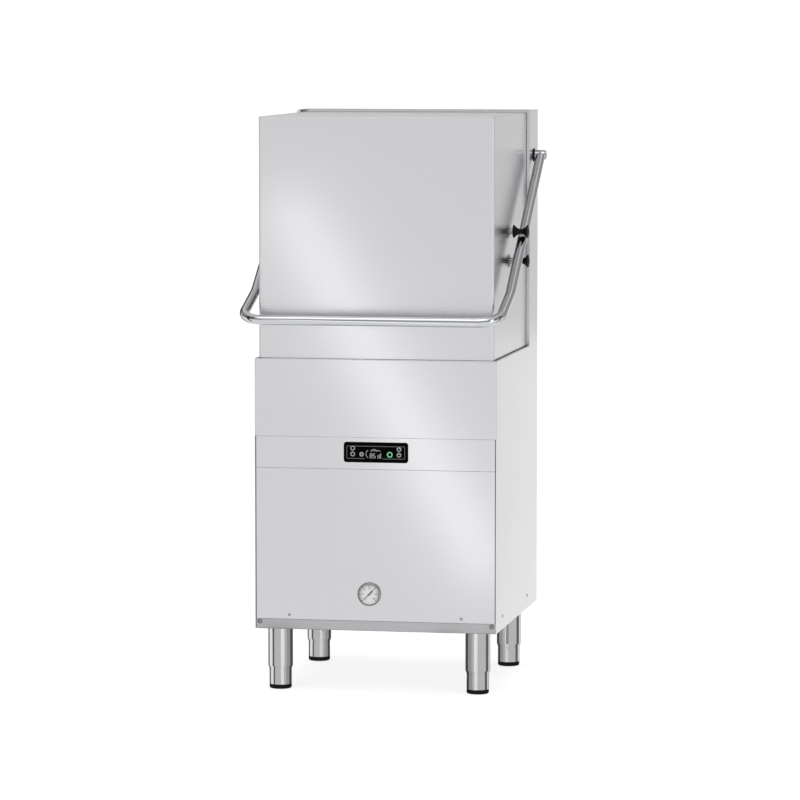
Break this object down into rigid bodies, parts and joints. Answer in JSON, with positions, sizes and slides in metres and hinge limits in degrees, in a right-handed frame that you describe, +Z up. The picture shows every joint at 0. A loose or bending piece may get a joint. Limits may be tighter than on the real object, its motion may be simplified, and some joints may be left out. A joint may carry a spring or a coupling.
{
  "type": "commercial dishwasher",
  "caption": "Hood-type commercial dishwasher: steel cabinet with control panel, lifting box hood, U-shaped lift handle, rear column and round adjustable legs.",
  "frame": {"origin": "on the floor, under the middle of the object's bounding box", "axes": "+Z up; +X to the right seen from the front; +Y from the front towards the column at the back"},
  "size_m": [0.696, 0.7572, 1.462],
  "materials": {
    "steel_panel": "fine vertical and horizontal brushed grain",
    "steel_inner": "plain mill finish",
    "polished_steel": "polished tube, soft reflections",
    "black_plastic": "fine moulded grain",
    "control_black": "smooth printed membrane",
    "button_green": "lit ring button",
    "button_grey": "ring button",
    "guide_white": "low-friction plastic strip",
    "foot_steel": "polished foot tube with a black plastic pad",
    "dial_cream": "printed dial",
    "needle_black": "painted needle",
    "display_glass": "dark display window",
    "gauge_glass": "clear gauge glass",
    "pump_grey": "cast and painted pump body",
    "box_grey": "moulded enclosure",
    "brass": "turned brass"
  },
  "bodies": {
    "chassis": {"base_frame": "steel_inner", "plinth_front": "steel_panel", "lower_front_panel": "steel_panel", "control_fascia": "steel_panel", "upper_front_panel": "steel_panel", "side_panel_right": "steel_panel", "side_panel_left": "steel_panel", "rear_panel": "steel_panel", "chamber_rear_wall": "steel_inner", "column_top_cap": "steel_panel", "wash_tank": "steel_inner", "filter_tray": "steel_inner", "rack_guide": "steel_inner", "tank_element": "polished_steel", "wash_manifold": "steel_inner", "wash_pump": "pump_grey", "suction_pipe": "box_grey", "rinse_boiler": "steel_inner", "electrical_box": "box_grey", "chemical_doser": "black_plastic", "water_inlet_valve": "brass", "drain_pipe": "box_grey", "cable_gland": "black_plastic", "control_bezel": "control_black", "display_window": "display_glass", "gauge_case": "polished_steel", "gauge_dial": "dial_cream", "gauge_glass": "gauge_glass", "hood_guide_right": "guide_white", "pivot_bush_right": "black_plastic", "lift_spring_right": "steel_inner", "leg_sleeve_front_right": "polished_steel", "leg_sleeve_rear_right": "polished_steel", "hood_guide_left": "guide_white", "pivot_bush_left": "black_plastic", "lift_spring_left": "steel_inner", "leg_sleeve_front_left": "polished_steel", "leg_sleeve_rear_left": "polished_steel"},
    "hood": {"hood_front": "steel_panel", "hood_top": "steel_panel", "hood_side_right": "steel_panel", "hood_side_left": "steel_panel"},
    "handle": {"handle_tube": "polished_steel", "pivot_shaft": "steel_inner"},
    "lower_wash_arm": {"lower_wash_arm": "steel_inner"},
    "lower_rinse_arm": {"lower_rinse_arm": "polished_steel"},
    "upper_wash_arm": {"upper_wash_arm": "steel_inner"},
    "upper_rinse_arm": {"upper_rinse_arm": "polished_steel"},
    "button_start": {"button_start": "button_green"},
    "button_program": {"button_program": "button_grey"},
    "gauge_needle": {"gauge_needle": "needle_black"},
    "overflow_standpipe": {"overflow_standpipe": "steel_inner"},
    "roller_upper_right": {"roller_upper_right": "black_plastic"},
    "roller_lower_right": {"roller_lower_right": "black_plastic"},
    "foot_front_right": {"adjustable_foot_front_right": "foot_steel"},
    "foot_rear_right": {"adjustable_foot_rear_right": "foot_steel"},
    "roller_upper_left": {"roller_upper_left": "black_plastic"},
    "roller_lower_left": {"roller_lower_left": "black_plastic"},
    "foot_front_left": {"adjustable_foot_front_left": "foot_steel"},
    "foot_rear_left": {"adjustable_foot_rear_left": "foot_steel"}
  },
  "joints": [
    {"name": "hood_lift", "type": "slide", "parent": "chassis", "child": "hood", "axis": [0, 0, 1], "range_m": [0, 0.42]},
    {"name": "handle_swing", "type": "hinge", "parent": "chassis", "child": "handle", "pos_m": [0, 0.31075, 1.344], "axis": [-1, 0, 0], "range_deg": [0, 65.2], "deforming": ["lift_spring_right", "lift_spring_left"]},
    {"name": "roller_upper_right_spin", "type": "hinge", "parent": "hood", "child": "roller_upper_right", "pos_m": [0.3265, -0.00925, 1.159], "axis": [1, 0, 0], "continuous": true},
    {"name": "roller_lower_right_spin", "type": "hinge", "parent": "hood", "child": "roller_lower_right", "pos_m": [0.3265, -0.00125, 1.083], "axis": [1, 0, 0], "continuous": true},
    {"name": "roller_upper_left_spin", "type": "hinge", "parent": "hood", "child": "roller_upper_left", "pos_m": [-0.3265, -0.00925, 1.159], "axis": [1, 0, 0], "continuous": true},
    {"name": "roller_lower_left_spin", "type": "hinge", "parent": "hood", "child": "roller_lower_left", "pos_m": [-0.3265, -0.00125, 1.083], "axis": [1, 0, 0], "continuous": true},
    {"name": "lower_wash_arm_spin", "type": "hinge", "parent": "chassis", "child": "lower_wash_arm", "pos_m": [0, 0.00375, 0.794], "axis": [0, 0, 1], "continuous": true},
    {"name": "lower_rinse_arm_spin", "type": "hinge", "parent": "chassis", "child": "lower_rinse_arm", "pos_m": [0, 0.00375, 0.816], "axis": [0, 0, 1], "continuous": true},
    {"name": "upper_wash_arm_spin", "type": "hinge", "parent": "chassis", "child": "upper_wash_arm", "pos_m": [0, 0.00375, 1.374], "axis": [0, 0, 1], "continuous": true},
    {"name": "upper_rinse_arm_spin", "type": "hinge", "parent": "chassis", "child": "upper_rinse_arm", "pos_m": [0, 0.00375, 1.35], "axis": [0, 0, 1], "continuous": true},
    {"name": "start_press", "type": "slide", "parent": "chassis", "child": "button_start", "axis": [0, 1, 0], "range_m": [0, 0.001], "stiffness_N_per_m": 800},
    {"name": "program_press", "type": "slide", "parent": "chassis", "child": "button_program", "axis": [0, 1, 0], "range_m": [0, 0.001], "stiffness_N_per_m": 800},
    {"name": "needle_turn", "type": "hinge", "parent": "chassis", "child": "gauge_needle", "pos_m": [-0.0146, -0.29025, 0.2523], "axis": [0, 1, 0], "range_deg": [0, 270], "stiffness_Nm_per_rad": 0.002},
    {"name": "overflow_lift", "type": "slide", "parent": "chassis", "child": "overflow_standpipe", "axis": [0, 0, 1], "range_m": [0, 0.04]},
    {"name": "foot_front_right_screw", "type": "slide", "parent": "chassis", "child": "foot_front_right", "axis": [0, 0, -1], "range_m": [0, 0.03]},
    {"name": "foot_rear_right_screw", "type": "slide", "parent": "chassis", "child": "foot_rear_right", "axis": [0, 0, -1], "range_m": [0, 0.03]},
    {"name": "foot_front_left_screw", "type": "slide", "parent": "chassis", "child": "foot_front_left", "axis": [0, 0, -1], "range_m": [0, 0.03]},
    {"name": "foot_rear_left_screw", "type": "slide", "parent": "chassis", "child": "foot_rear_left", "axis": [0, 0, -1], "range_m": [0, 0.03]}
  ],
  "couplings": [
    {"joint": "handle_swing", "follows": "hood_lift", "rad_per_m": 2.7011}
  ]
}
